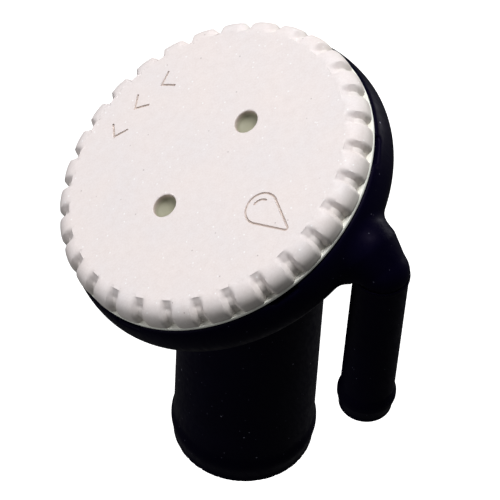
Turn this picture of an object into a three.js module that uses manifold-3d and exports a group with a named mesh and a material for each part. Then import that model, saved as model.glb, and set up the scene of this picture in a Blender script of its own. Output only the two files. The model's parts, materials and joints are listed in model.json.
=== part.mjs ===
// A vented, angled deck fill for a boat's fuel tank: screw cap, bowl, leaning hose neck and vent tail.
// Millimetres, +Z up and out of the deck. The origin is the centre of the cap's flat outer face, and the
// neck leans towards +X. Heights given as z are measured from that face.
import * as THREE from "three";
import { mergeVertices } from "three/addons/utils/BufferGeometryUtils.js";
import { ConvexGeometry } from "three/addons/geometries/ConvexGeometry.js";
import Module from "manifold-3d";

const wasm = await Module();
wasm.setup();

// Fits
const GAP = 0.3;
const CAP_ROUND = 60;
const ROUND = 48;
const FINE_ROUND = 36;
const SMALL_ROUND = 18;
const THREAD_ROUND = 24;
const SCREW_ROUND = 16;

// Cap
const CAP_RADIUS = 43.2;
const CAP_BULGE_RADIUS = 43.4;
const CAP_FLAT_RADIUS = 38.7;
const CAP_SHOULDER_HEIGHT = 4.4;
const LIP_Z = -7.4;
const LIP_HEIGHT = 0.9;
const DISC_BOTTOM_Z = -4.2;
const CAP_SKIRT_INNER_RADIUS = 40.6;
const FLUTE_COUNT = 30;
const FLUTE_START_ANGLE = -1;
const FLUTE_TOP_WIDTH = 3.8;
const FLUTE_FLOOR_WIDTH = 2.1;
const FLUTE_DEPTH = 1.5;
const SPANNER_HOLE_RADIUS = 3.15;
const SPANNER_HOLE_DEPTH = 2.8;
const SPANNER_HOLE_DISTANCE = 14.6;
const SPANNER_HOLE_ANGLE = 23.6;

// Thread between the cap's plug and the throat ring
const PITCH = 4;
const THREAD_TURNS = 2;
const THREAD_TOP_Z = -8.6;
const MALE_ROOT_RADIUS = 24.4;
const MALE_CREST_RADIUS = 26.4;
const FEMALE_ROOT_RADIUS = 26.9;
const FEMALE_CREST_RADIUS = 24.9;
const THREAD_BASE_WIDTH = 1.9;
const THREAD_TIP_WIDTH = 1.0;
const PLUG_INNER_RADIUS = 21.5;
const PLUG_BOTTOM_Z = -18.2;

// Cap seal
const SEAL_RADIUS = 28.4;
const SEAL_SECTION_RADIUS = 1.4;
const SEAL_Z = -5.9;
const SEAL_LAND_RADIUS = 26.6;
const SEAL_GUARD_INNER_RADIUS = 30.2;
const SEAL_GUARD_OUTER_RADIUS = 31.6;
const SEAL_GUARD_BOTTOM_Z = -6.9;

// Bowl
const RIM_Z = LIP_Z - GAP;
const RIM_RADIUS = 43.0;
const BOWL_RADIUS = 44.6;
const BOWL_WIDEST_Z = -13.5;
const BOWL_EDGE_ROUNDING = 9.4;
const BOWL_BOTTOM_Z = BOWL_WIDEST_Z - BOWL_EDGE_ROUNDING;
const BOWL_WALL = 3;
const BOWL_FLOOR_Z = BOWL_BOTTOM_Z + BOWL_WALL;
const CAVITY_RADIUS = 41.0;
const SEAT_INNER_RADIUS = 27.6;
const SEAT_HEIGHT = 0.6;
const NOTCH_COUNT = 6;
const NOTCH_WIDTH = 8;
const NOTCH_DEPTH = 1.2;

// Neck for the fill hose
const NECK_LEAN = 30;
const NECK_START_Z = -28;
const NECK_LENGTH = 87;
const NECK_RADIUS = 19.05;
const NECK_BORE_RADIUS = 16.15;
const NECK_BARB_HEIGHT = 0.7;
const NECK_BARB_FROM_END = 6.2;

// Vent branch, knuckle and tail
const VENT_ANGLE = 129;
const VENT_Z = -19.5;
const BRANCH_RADIUS = 9.2;
const KNUCKLE_RADIUS = 8.5;
const KNUCKLE_DISTANCE = 42.9;
const TAIL_AXIS_DISTANCE = 48.4;
const TAIL_START = 5.2;
const TAIL_LENGTH = 51.7;
const TAIL_LEAN = 31;
const TAIL_RADIUS = 6.95;
const TAIL_BORE_RADIUS = 5.2;
const TAIL_BARB_HEIGHT = 0.65;
const TAIL_BARB_FROM_END = 5;
const TAIL_COLLAR_RADIUS = 7.2;
const TAIL_COLLAR_LENGTH = 1.2;
const SPIGOT_RADIUS = 5.6;
const SPIGOT_LENGTH = 5;
const SPIGOT_BORE_RADIUS = 4.4;
const VENT_BORE_RADIUS = 5.0;
const BEND_DISTANCE = 45;
const VENT_NIPPLE_RADIUS = 6.6;
const VENT_NIPPLE_START = 32.2;

// Throat ring and what holds it
const FLANGE_RADIUS = 40.4;
const FLANGE_THICKNESS = 2.5;
const THROAT_OUTER_RADIUS = 31;
const THROAT_BOTTOM_Z = -18.5;
const GASKET_THICKNESS = 0.8;
const SCREW_CIRCLE_RADIUS = 36;
const SCREW_COUNT = 4;
const SCREW_START_ANGLE = VENT_ANGLE - 45;
const SCREW_HEAD_RADIUS = 3;
const SCREW_HEAD_HEIGHT = 2;
const SCREW_SHANK_RADIUS = 1.2;
const SCREW_LENGTH = 9;
const PILLAR_RADIUS = 3.2;
const VENT_SLOT_INNER_RADIUS = 33.2;
const VENT_SLOT_OUTER_RADIUS = 38.6;
const VENT_SLOT_SPAN = 22;
const VENT_SLOT_OFFSET = 26;

// Tether anchors
const BOSS_RADIUS = 5.2;
const BOSS_BOTTOM_Z = -9;
const SWIVEL_SHANK_RADIUS = 1.7;
const SWIVEL_SHANK_TOP_Z = -5;
const SWIVEL_HEAD_RADIUS = 3.6;
const SWIVEL_HEAD_HEIGHT = 1.9;
const WASHER_RADIUS = 4.6;
const WASHER_THICKNESS = 0.8;
const EYE_PLATE_RADIUS = 4.2;
const EYE_PLATE_THICKNESS = 1.2;
const EYE_TAB_LENGTH = 11;
const EYE_TAB_WIDTH = 6;
const EYE_HOLE_RADIUS = 1.6;
const LUG_X = 18;
const LUG_THICKNESS = 2.6;
const LUG_WIDTH = 7;
const LUG_HEIGHT = 7;

// Flame arrestor in the vent
const SCREEN_RADIUS = 4.7;
const SCREEN_THICKNESS = 0.6;
const SCREEN_DISTANCE = 34.2;
const SCREEN_PITCH = 1.8;
const SCREEN_HOLE = 1.2;
const SCREEN_RIM = 0.6;
const RETAINER_INNER_RADIUS = 3.7;
const RETAINER_THICKNESS = 1;

const radians = THREE.MathUtils.degToRad;
const Z_AXIS = new THREE.Vector3(0, 0, 1);

function leaning(degrees) {
  return new THREE.Vector3(Math.sin(radians(degrees)), 0, -Math.cos(radians(degrees)));
}

function outward(degrees) {
  return new THREE.Vector3(Math.cos(radians(degrees)), Math.sin(radians(degrees)), 0);
}

// Solids

function solid(geometry) {
  const bare = geometry.clone();
  bare.deleteAttribute("normal");
  bare.deleteAttribute("uv");
  const merged = mergeVertices(bare, 1e-4);
  const mesh = new wasm.Mesh({
    numProp: 3,
    vertProperties: new Float32Array(merged.attributes.position.array),
    triVerts: new Uint32Array(merged.index.array),
  });
  return new wasm.Manifold(mesh);
}

function geometryOf(manifold) {
  const mesh = manifold.getMesh();
  const geometry = new THREE.BufferGeometry();
  geometry.setAttribute("position", new THREE.BufferAttribute(mesh.vertProperties, 3));
  geometry.setIndex(new THREE.BufferAttribute(mesh.triVerts, 1));
  return geometry;
}

function cut(body, ...tools) {
  return tools.reduce((rest, tool) => rest.subtract(tool), body);
}

function join(first, ...others) {
  return others.reduce((whole, other) => whole.add(other), first);
}

// Turns a closed (radius, z) profile about Z. The profile runs anticlockwise seen with r to the right.
function turned(points, segments = ROUND) {
  const closed = [...points, points[0]];
  const profile = closed.map(([r, z]) => new THREE.Vector2(r, z));
  const geometry = new THREE.LatheGeometry(profile, segments);
  return geometry.rotateX(Math.PI / 2);
}

// A rod along Z from z = low to z = high.
function rod(radius, low, high, segments = SMALL_ROUND, topRadius = radius) {
  const geometry = new THREE.CylinderGeometry(topRadius, radius, high - low, segments);
  return geometry.rotateX(Math.PI / 2).translate(0, 0, (low + high) / 2);
}

// Moves a shape made about Z so that its Z axis runs along direction from start.
function aimed(geometry, start, direction) {
  const turn = new THREE.Quaternion().setFromUnitVectors(Z_AXIS, direction.clone().normalize());
  return geometry.applyQuaternion(turn).translate(start.x, start.y, start.z);
}

function sphereAt(centre, radius) {
  const ball = new THREE.SphereGeometry(radius, SMALL_ROUND, SMALL_ROUND / 2);
  return ball.translate(centre.x, centre.y, centre.z);
}

// Points of an arc in (radius, z), from one angle to another, ends included.
function arc(centreR, centreZ, radiusR, radiusZ, from, to, steps) {
  const points = [];
  for (let i = 0; i <= steps; i++) {
    const angle = radians(from + ((to - from) * i) / steps);
    points.push([centreR + radiusR * Math.cos(angle), centreZ + radiusZ * Math.sin(angle)]);
  }
  return points;
}

// A helical ridge of trapezoid section, bent out of a long box: x is its height, y its width, z its length.
function threadRidge(rootRadius, tipRadius, overlap, topZ, startTurn) {
  const steps = Math.round(THREAD_TURNS * THREAD_ROUND);
  const geometry = new THREE.BoxGeometry(1, 1, 1, 1, 1, steps);
  const position = geometry.attributes.position;
  const outwardSign = Math.sign(tipRadius - rootRadius);
  for (let i = 0; i < position.count; i++) {
    const atTip = position.getX(i) > 0;
    const along = position.getZ(i) + 0.5;
    const lead = Math.min(along, 1 - along) * THREAD_TURNS * 8;
    const height = Math.min(1, 0.25 + lead);
    const tip = rootRadius + (tipRadius - rootRadius) * height;
    const radius = atTip ? tip : rootRadius - outwardSign * overlap;
    const width = atTip ? THREAD_TIP_WIDTH : THREAD_BASE_WIDTH;
    const turns = along * THREAD_TURNS;
    const angle = 2 * Math.PI * (turns + startTurn);
    const z = topZ - (THREAD_TURNS - turns) * PITCH + position.getY(i) * width;
    position.setXYZ(i, radius * Math.cos(angle), radius * Math.sin(angle), z);
  }
  const ridge = solid(geometry);
  if (ridge.volume() > 0) return ridge;
  geometry.index.array.reverse();
  return solid(geometry);
}

// Pieces

// The cap's rounded shoulder, or the same curve set in by an inset, from the side up to the flat face.
function capShoulder(inset = 0) {
  return arc(
    CAP_FLAT_RADIUS,
    -CAP_SHOULDER_HEIGHT,
    CAP_BULGE_RADIUS - CAP_FLAT_RADIUS - inset,
    CAP_SHOULDER_HEIGHT - inset,
    0,
    90,
    3,
  );
}

// One flute's cutter: a wedge-sided groove whose floor follows the shoulder, FLUTE_DEPTH below it.
function fluteCutter(angle) {
  const floor = capShoulder(FLUTE_DEPTH);
  const lipTop = LIP_Z + LIP_HEIGHT;
  const outline = [
    [CAP_BULGE_RADIUS - FLUTE_DEPTH, lipTop],
    ...floor,
    [CAP_FLAT_RADIUS, 1],
    [CAP_BULGE_RADIUS + 3, 1],
    [CAP_BULGE_RADIUS + 3, lipTop],
  ];
  const shape = new THREE.Shape(outline.map(([r, z]) => new THREE.Vector2(r, z)));
  const groove = new THREE.ExtrudeGeometry(shape, { depth: 1, steps: 1, bevelEnabled: false });
  groove.translate(0, 0, -0.5);
  const position = groove.attributes.position;
  const slope = (FLUTE_TOP_WIDTH - FLUTE_FLOOR_WIDTH) / FLUTE_DEPTH;
  for (let i = 0; i < position.count; i++) {
    const r = position.getX(i);
    const z = position.getY(i);
    const aboveFloor = r > CAP_BULGE_RADIUS || z > 0 ? FLUTE_DEPTH + 1 : 0;
    const width = FLUTE_FLOOR_WIDTH + slope * aboveFloor;
    position.setXYZ(i, r, width * position.getZ(i), z);
  }
  const made = solid(groove);
  const cutter = made.volume() > 0 ? made : solid(reversed(groove));
  return cutter.rotate([0, 0, angle]);
}

function reversed(geometry) {
  const merged = mergeVertices(geometry.clone().deleteAttribute("uv").deleteAttribute("normal"), 1e-4);
  merged.index.array.reverse();
  return merged;
}

function makeCap() {
  const profile = [
    [0, DISC_BOTTOM_Z],
    [SEAL_LAND_RADIUS, DISC_BOTTOM_Z],
    [SEAL_GUARD_INNER_RADIUS, DISC_BOTTOM_Z],
    [SEAL_GUARD_INNER_RADIUS, SEAL_GUARD_BOTTOM_Z],
    [SEAL_GUARD_OUTER_RADIUS, SEAL_GUARD_BOTTOM_Z],
    [SEAL_GUARD_OUTER_RADIUS, DISC_BOTTOM_Z],
    [CAP_SKIRT_INNER_RADIUS - 1, DISC_BOTTOM_Z],
    [CAP_SKIRT_INNER_RADIUS, DISC_BOTTOM_Z - 1],
    [CAP_SKIRT_INNER_RADIUS, LIP_Z],
    [CAP_RADIUS, LIP_Z],
    [CAP_RADIUS + 0.1, LIP_Z + LIP_HEIGHT],
    ...capShoulder(),
    [0, 0],
  ];
  const disc = solid(turned(profile, CAP_ROUND));
  const plug = solid(
    turned([
      [PLUG_INNER_RADIUS, DISC_BOTTOM_Z + 1],
      [PLUG_INNER_RADIUS, PLUG_BOTTOM_Z + 0.6],
      [PLUG_INNER_RADIUS + 0.6, PLUG_BOTTOM_Z],
      [MALE_ROOT_RADIUS - 0.8, PLUG_BOTTOM_Z],
      [MALE_ROOT_RADIUS, PLUG_BOTTOM_Z + 0.8],
      [MALE_ROOT_RADIUS, RIM_Z + 0.4],
      [SEAL_LAND_RADIUS, RIM_Z + 0.4],
      [SEAL_LAND_RADIUS, DISC_BOTTOM_Z + 1],
    ]),
  );
  const ridge = threadRidge(MALE_ROOT_RADIUS, MALE_CREST_RADIUS, 0.6, THREAD_TOP_Z, 0);
  const boss = solid(rod(BOSS_RADIUS, BOSS_BOTTOM_Z, DISC_BOTTOM_Z + 1));
  const bossHole = solid(
    rod(SWIVEL_SHANK_RADIUS + GAP, BOSS_BOTTOM_Z - 1, SWIVEL_SHANK_TOP_Z + GAP),
  );
  const flutes = [];
  for (let i = 0; i < FLUTE_COUNT; i++) {
    flutes.push(fluteCutter(FLUTE_START_ANGLE + (i * 360) / FLUTE_COUNT));
  }
  const spannerHoles = [0, 180].map((half) => {
    const centre = outward(SPANNER_HOLE_ANGLE + half).multiplyScalar(SPANNER_HOLE_DISTANCE);
    return solid(
      rod(SPANNER_HOLE_RADIUS, -SPANNER_HOLE_DEPTH, 1).translate(centre.x, centre.y, 0),
    );
  });
  return cut(join(disc, plug, ridge, boss), bossHole, ...flutes, ...spannerHoles);
}

function makeSeal() {
  const section = arc(SEAL_RADIUS, SEAL_Z, SEAL_SECTION_RADIUS, SEAL_SECTION_RADIUS, 0, 315, 7);
  return solid(turned(section, FINE_ROUND));
}

// The bowl's outside. Its underside is a flat seat ring round a shallow recess.
function bowlOutside() {
  const upper = arc(RIM_RADIUS, BOWL_WIDEST_Z, BOWL_RADIUS - RIM_RADIUS, RIM_Z - BOWL_WIDEST_Z, 0, 90, 4);
  const lower = arc(
    BOWL_RADIUS - BOWL_EDGE_ROUNDING,
    BOWL_WIDEST_Z,
    BOWL_EDGE_ROUNDING,
    BOWL_EDGE_ROUNDING,
    -90,
    0,
    6,
  );
  const recess = [
    [0, BOWL_BOTTOM_Z + SEAT_HEIGHT],
    [SEAT_INNER_RADIUS - SEAT_HEIGHT, BOWL_BOTTOM_Z + SEAT_HEIGHT],
    [SEAT_INNER_RADIUS, BOWL_BOTTOM_Z],
  ];
  return solid(turned([...recess, ...lower, ...upper.slice(1), [0, RIM_Z]]));
}

function bowlCavity() {
  const corner = arc(
    BOWL_RADIUS - BOWL_EDGE_ROUNDING,
    BOWL_WIDEST_Z,
    CAVITY_RADIUS - BOWL_RADIUS + BOWL_EDGE_ROUNDING,
    BOWL_WIDEST_Z - BOWL_FLOOR_Z,
    -90,
    0,
    4,
  );
  return solid(turned([[0, BOWL_FLOOR_Z], ...corner, [CAVITY_RADIUS, RIM_Z + 1], [0, RIM_Z + 1]]));
}

const neckStart = new THREE.Vector3(0, 0, NECK_START_Z);
const neckDirection = leaning(NECK_LEAN);
const ventOut = outward(VENT_ANGLE);
const ventHub = new THREE.Vector3(0, 0, VENT_Z);
const knuckleCentre = ventHub.clone().addScaledVector(ventOut, KNUCKLE_DISTANCE);
const tailDirection = leaning(TAIL_LEAN);
const tailTop = ventHub
  .clone()
  .addScaledVector(ventOut, TAIL_AXIS_DISTANCE)
  .addScaledVector(tailDirection, TAIL_START);

// A tube's outside with one hose barb near its end, as a profile from low to high along its own axis.
function barbedOutside(radius, length, barbHeight, barbFromEnd, edge) {
  const crest = length - barbFromEnd;
  return [
    [radius, crest - 3.4],
    [radius + barbHeight, crest - 0.9],
    [radius + barbHeight, crest + 0.4],
    [radius, crest + barbFromEnd * 0.65],
    [radius, length - edge],
    [radius - edge, length],
  ];
}

function neckOutside() {
  const outside = barbedOutside(NECK_RADIUS, NECK_LENGTH, NECK_BARB_HEIGHT, NECK_BARB_FROM_END, 0.6);
  const profile = [[0, 0], [NECK_RADIUS, 0], ...outside, [0, NECK_LENGTH]];
  return solid(aimed(turned(profile, FINE_ROUND), neckStart, neckDirection));
}

// Carries the neck's section up into the bowl's floor, where the cavity cuts it away.
function neckRoot() {
  return solid(aimed(rod(NECK_RADIUS, -6, 1, FINE_ROUND), neckStart, neckDirection));
}

function knuckle() {
  const ball = sphereAt(knuckleCentre, KNUCKLE_RADIUS);
  const mouth = aimed(rod(TAIL_COLLAR_RADIUS - 0.2, -1, 0), tailTop, tailDirection);
  const points = [];
  for (const geometry of [ball, mouth]) {
    const position = geometry.attributes.position;
    for (let i = 0; i < position.count; i++) {
      points.push(new THREE.Vector3().fromBufferAttribute(position, i));
    }
  }
  return solid(new ConvexGeometry(points));
}

function pillars() {
  const made = [];
  for (let i = 0; i < SCREW_COUNT; i++) {
    const centre = screwCentre(i);
    const top = RIM_Z - FLANGE_THICKNESS - GAP;
    made.push(solid(rod(PILLAR_RADIUS, BOWL_FLOOR_Z - 1, top).translate(centre.x, centre.y, 0)));
  }
  return made;
}

function pilotHoles() {
  const made = [];
  for (let i = 0; i < SCREW_COUNT; i++) {
    const centre = screwCentre(i);
    const low = RIM_Z - SCREW_LENGTH - 1;
    made.push(
      solid(rod(SCREW_SHANK_RADIUS + GAP, low, RIM_Z, 12).translate(centre.x, centre.y, 0)),
    );
  }
  return made;
}

function screwCentre(i) {
  const angle = SCREW_START_ANGLE + (i * 360) / SCREW_COUNT;
  return outward(angle).multiplyScalar(SCREW_CIRCLE_RADIUS);
}

function tetherLug() {
  const outline = new THREE.Shape();
  const half = LUG_WIDTH / 2;
  outline.moveTo(-half, -1);
  outline.lineTo(half, -1);
  outline.lineTo(half, LUG_HEIGHT - half);
  outline.absarc(0, LUG_HEIGHT - half, half, 0, Math.PI, false);
  outline.lineTo(-half, -1);
  const hole = new THREE.Path();
  hole.absarc(0, LUG_HEIGHT - half, EYE_HOLE_RADIUS, 0, 2 * Math.PI, false);
  outline.holes.push(hole);
  const geometry = new THREE.ExtrudeGeometry(outline, {
    depth: LUG_THICKNESS,
    bevelEnabled: false,
    curveSegments: 10,
  });
  geometry.rotateX(Math.PI / 2).rotateZ(Math.PI / 2);
  return solid(geometry.translate(LUG_X - LUG_THICKNESS / 2, 0, BOWL_FLOOR_Z));
}

function rimNotches() {
  const made = [];
  for (let i = 0; i < NOTCH_COUNT; i++) {
    const angle = VENT_ANGLE + ((i + 0.5) * 360) / NOTCH_COUNT;
    const box = new THREE.BoxGeometry(8, NOTCH_WIDTH, 2 * NOTCH_DEPTH);
    box.translate(CAVITY_RADIUS + 1.5, 0, RIM_Z).rotateZ(radians(angle));
    made.push(solid(box));
  }
  return made;
}

// A rod along the vent's axis, between two distances from the cap's axis.
function ventRod(radius, near, far) {
  return solid(aimed(rod(radius, 0, far - near), pointOnVent(near), ventOut));
}

// A rod along the tail's axis, between two distances from its top.
function tailRod(radius, near, far) {
  return solid(aimed(rod(radius, near, far, FINE_ROUND), tailTop, tailDirection));
}

// The branch's outside, with a round inner end under the bowl's floor.
function branchOutside() {
  const start = NECK_RADIUS + BRANCH_RADIUS;
  return join(
    ventRod(BRANCH_RADIUS, start, KNUCKLE_DISTANCE),
    solid(sphereAt(pointOnVent(start), BRANCH_RADIUS)),
  );
}

function makeBody() {
  const outside = join(bowlOutside(), neckRoot(), neckOutside(), branchOutside());
  const ventNipple = ventRod(VENT_NIPPLE_RADIUS, VENT_NIPPLE_START, KNUCKLE_DISTANCE);
  const hollowed = join(cut(outside, bowlCavity()), knuckle(), ventNipple, tetherLug(), ...pillars());
  const spigot = tailRod(SPIGOT_RADIUS, -1, SPIGOT_LENGTH);

  const neckBore = solid(
    aimed(rod(NECK_BORE_RADIUS, -14, NECK_LENGTH + 1, FINE_ROUND), neckStart, neckDirection),
  );
  const belowCavity = solid(rod(BOWL_RADIUS, BOWL_FLOOR_Z - 200, BOWL_FLOOR_Z + 0.01, SMALL_ROUND));
  const ventBore = ventRod(VENT_BORE_RADIUS, VENT_NIPPLE_START - 1, BEND_DISTANCE);
  const bendBall = solid(sphereAt(pointOnVent(BEND_DISTANCE), VENT_BORE_RADIUS));
  return cut(
    join(cut(hollowed, tailRod(TAIL_COLLAR_RADIUS + GAP, 0, TAIL_LENGTH)), spigot),
    neckBore.intersect(belowCavity),
    ventBore,
    bendBall,
    tailRod(SPIGOT_BORE_RADIUS, -3, SPIGOT_LENGTH + 1),
    ...pilotHoles(),
    ...rimNotches(),
  );
}

function pointOnVent(distance) {
  return ventHub.clone().addScaledVector(ventOut, distance);
}

function makeTail() {
  const outside = barbedOutside(TAIL_RADIUS, TAIL_LENGTH, TAIL_BARB_HEIGHT, TAIL_BARB_FROM_END, 0.4);
  const profile = [
    [TAIL_BORE_RADIUS, SPIGOT_LENGTH + GAP],
    [SPIGOT_RADIUS + GAP, SPIGOT_LENGTH + GAP],
    [SPIGOT_RADIUS + GAP, GAP],
    [TAIL_COLLAR_RADIUS, GAP],
    [TAIL_COLLAR_RADIUS, TAIL_COLLAR_LENGTH],
    [TAIL_RADIUS, TAIL_COLLAR_LENGTH + 0.6],
    ...outside,
    [TAIL_BORE_RADIUS, TAIL_LENGTH],
  ];
  return solid(aimed(turned(profile, FINE_ROUND), tailTop, tailDirection));
}

function makeThroatRing() {
  const ring = solid(
    turned([
      [FEMALE_ROOT_RADIUS, THROAT_BOTTOM_Z],
      [THROAT_OUTER_RADIUS, THROAT_BOTTOM_Z],
      [THROAT_OUTER_RADIUS, RIM_Z - FLANGE_THICKNESS],
      [FLANGE_RADIUS, RIM_Z - FLANGE_THICKNESS],
      [FLANGE_RADIUS, RIM_Z],
      [FEMALE_ROOT_RADIUS, RIM_Z],
    ]),
  );
  const ridge = threadRidge(FEMALE_ROOT_RADIUS, FEMALE_CREST_RADIUS, 0.6, THREAD_TOP_Z, 0.5);
  const slots = [];
  const screwHoles = [];
  for (let i = 0; i < SCREW_COUNT; i++) {
    const screwAngle = SCREW_START_ANGLE + (i * 360) / SCREW_COUNT;
    slots.push(ventSlot(screwAngle - VENT_SLOT_OFFSET), ventSlot(screwAngle + VENT_SLOT_OFFSET));
    screwHoles.push(countersink(screwCentre(i)));
  }
  return cut(join(ring, ridge), ...slots, ...screwHoles);
}

function ventSlot(angle) {
  const outline = new THREE.Shape();
  const from = radians(angle - VENT_SLOT_SPAN / 2);
  const to = radians(angle + VENT_SLOT_SPAN / 2);
  outline.absarc(0, 0, VENT_SLOT_OUTER_RADIUS, from, to, false);
  outline.absarc(0, 0, VENT_SLOT_INNER_RADIUS, to, from, true);
  const geometry = new THREE.ExtrudeGeometry(outline, {
    depth: FLANGE_THICKNESS + 2,
    bevelEnabled: false,
    curveSegments: 4,
  });
  return solid(geometry.translate(0, 0, RIM_Z - FLANGE_THICKNESS - 1));
}

function countersink(centre) {
  const head = rod(
    SCREW_SHANK_RADIUS + GAP,
    RIM_Z - SCREW_HEAD_HEIGHT - 0.1,
    RIM_Z + 0.01,
    SMALL_ROUND,
    SCREW_HEAD_RADIUS + GAP + 0.1,
  );
  const shank = rod(SCREW_SHANK_RADIUS + GAP, RIM_Z - 4, RIM_Z + 1, 12);
  const hole = join(solid(head), solid(shank));
  return hole.translate([centre.x, centre.y, 0]);
}

function makeGasket() {
  const low = BOWL_FLOOR_Z + GAP;
  return solid(
    turned([
      [FEMALE_ROOT_RADIUS + 0.3, low],
      [THROAT_OUTER_RADIUS - 0.2, low],
      [THROAT_OUTER_RADIUS - 0.2, low + GASKET_THICKNESS],
      [FEMALE_ROOT_RADIUS + 0.3, low + GASKET_THICKNESS],
    ], FINE_ROUND),
  );
}

function makeThroatScrew(i) {
  const centre = screwCentre(i);
  const top = RIM_Z - 0.1;
  const profile = [
    [0, top - SCREW_LENGTH],
    [SCREW_SHANK_RADIUS, top - SCREW_LENGTH + 1.6],
    [SCREW_SHANK_RADIUS, top - SCREW_HEAD_HEIGHT],
    [SCREW_HEAD_RADIUS, top - 0.2],
    [SCREW_HEAD_RADIUS, top],
    [0, top],
  ];
  const body = solid(turned(profile, SCREW_ROUND));
  const arms = [0, Math.PI / 2].map((turn) =>
    solid(new THREE.BoxGeometry(3.4, 0.8, 2).translate(0, 0, top).rotateZ(turn)),
  );
  return cut(body, ...arms).translate([centre.x, centre.y, 0]);
}

const washerTopZ = BOSS_BOTTOM_Z - GAP;
const eyeTopZ = washerTopZ - WASHER_THICKNESS - GAP;
const headTopZ = eyeTopZ - EYE_PLATE_THICKNESS - GAP;

function makeSwivelScrew() {
  const edge = 0.9;
  return solid(
    turned(
      [
        [0, headTopZ - SWIVEL_HEAD_HEIGHT],
        [SWIVEL_HEAD_RADIUS - edge, headTopZ - SWIVEL_HEAD_HEIGHT],
        [SWIVEL_HEAD_RADIUS, headTopZ - SWIVEL_HEAD_HEIGHT + edge],
        [SWIVEL_HEAD_RADIUS, headTopZ],
        [SWIVEL_SHANK_RADIUS, headTopZ],
        [SWIVEL_SHANK_RADIUS, SWIVEL_SHANK_TOP_Z],
        [0, SWIVEL_SHANK_TOP_Z],
      ],
      SMALL_ROUND,
    ),
  );
}

function makeSwivelWasher() {
  return solid(
    turned(
      [
        [SWIVEL_SHANK_RADIUS + GAP, washerTopZ - WASHER_THICKNESS],
        [WASHER_RADIUS, washerTopZ - WASHER_THICKNESS],
        [WASHER_RADIUS, washerTopZ],
        [SWIVEL_SHANK_RADIUS + GAP, washerTopZ],
      ],
      SMALL_ROUND,
    ),
  );
}

function makeSwivelEye() {
  const outline = new THREE.Shape();
  const half = EYE_TAB_WIDTH / 2;
  outline.absarc(EYE_TAB_LENGTH - half, 0, half, -Math.PI / 2, Math.PI / 2, false);
  const joinAngle = Math.asin(half / EYE_PLATE_RADIUS);
  outline.absarc(0, 0, EYE_PLATE_RADIUS, joinAngle, 2 * Math.PI - joinAngle, false);
  const shankHole = new THREE.Path();
  shankHole.absarc(0, 0, SWIVEL_SHANK_RADIUS + GAP, 0, 2 * Math.PI, false);
  const tetherHole = new THREE.Path();
  tetherHole.absarc(EYE_TAB_LENGTH - half, 0, EYE_HOLE_RADIUS, 0, 2 * Math.PI, false);
  outline.holes.push(shankHole, tetherHole);
  const geometry = new THREE.ExtrudeGeometry(outline, {
    depth: EYE_PLATE_THICKNESS,
    bevelEnabled: false,
    curveSegments: 12,
  });
  return solid(geometry.translate(0, 0, eyeTopZ - EYE_PLATE_THICKNESS));
}

// A square-hole gauze: crossing strips inside a solid rim.
function makeScreen() {
  const strips = [];
  const reach = Math.floor(SCREEN_RADIUS / SCREEN_PITCH);
  const stripWidth = SCREEN_PITCH - SCREEN_HOLE;
  for (let i = -reach; i <= reach; i++) {
    const strip = new THREE.BoxGeometry(2 * SCREEN_RADIUS, stripWidth, SCREEN_THICKNESS);
    strip.translate(0, i * SCREEN_PITCH, SCREEN_THICKNESS / 2);
    strips.push(solid(strip), solid(strip.clone().rotateZ(Math.PI / 2)));
  }
  const disc = solid(rod(SCREEN_RADIUS, 0, SCREEN_THICKNESS));
  const inside = solid(rod(SCREEN_RADIUS - SCREEN_RIM, -1, SCREEN_THICKNESS + 1));
  const rim = cut(disc, inside);
  const gauze = join(rim, join(...strips).intersect(disc));
  return solid(aimed(geometryOf(gauze), pointOnVent(SCREEN_DISTANCE), ventOut));
}

function makeRetainer() {
  const ring = turned(
    [
      [RETAINER_INNER_RADIUS, 0],
      [SCREEN_RADIUS + 0.1, 0],
      [SCREEN_RADIUS + 0.1, RETAINER_THICKNESS],
      [RETAINER_INNER_RADIUS, RETAINER_THICKNESS],
    ],
    SMALL_ROUND,
  );
  const start = pointOnVent(SCREEN_DISTANCE - GAP - RETAINER_THICKNESS);
  return solid(aimed(ring, start, ventOut));
}

// Finishes

const finishes = {
  white: { color: 0xebe6e4, roughness: 0.55, metalness: 0 },
  black: { color: 0x08070c, roughness: 0.45, metalness: 0 },
  rubber: { color: 0x161616, roughness: 0.8, metalness: 0 },
  steel: { color: 0xb8bbbe, roughness: 0.35, metalness: 1 },
  brass: { color: 0xb08d4a, roughness: 0.4, metalness: 1 },
};

const assembly = new THREE.Group();

function addPiece(name, finish, manifold, parent = assembly) {
  const mesh = new THREE.Mesh(geometryOf(manifold), new THREE.MeshStandardMaterial(finishes[finish]));
  mesh.name = name;
  parent.add(mesh);
}

const fill = new THREE.Group();
const capGroup = new THREE.Group();
assembly.add(fill, capGroup);

addPiece("fill_body", "black", makeBody(), fill);
addPiece("vent_tail", "black", makeTail(), fill);
addPiece("throat_ring", "black", makeThroatRing(), fill);
addPiece("throat_gasket", "rubber", makeGasket(), fill);
for (let i = 0; i < SCREW_COUNT; i++) {
  addPiece(`throat_screw_${i + 1}`, "steel", makeThroatScrew(i), fill);
}
addPiece("vent_screen", "brass", makeScreen(), fill);
addPiece("screen_retainer", "brass", makeRetainer(), fill);

addPiece("fill_cap", "white", makeCap(), capGroup);
addPiece("cap_seal", "rubber", makeSeal(), capGroup);
addPiece("swivel_screw", "steel", makeSwivelScrew(), capGroup);
addPiece("swivel_washer", "steel", makeSwivelWasher(), capGroup);
addPiece("swivel_eye", "steel", makeSwivelEye());

export default assembly;
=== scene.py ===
import json
import math

import bpy
import numpy as np
from mathutils import Matrix, Vector


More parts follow.
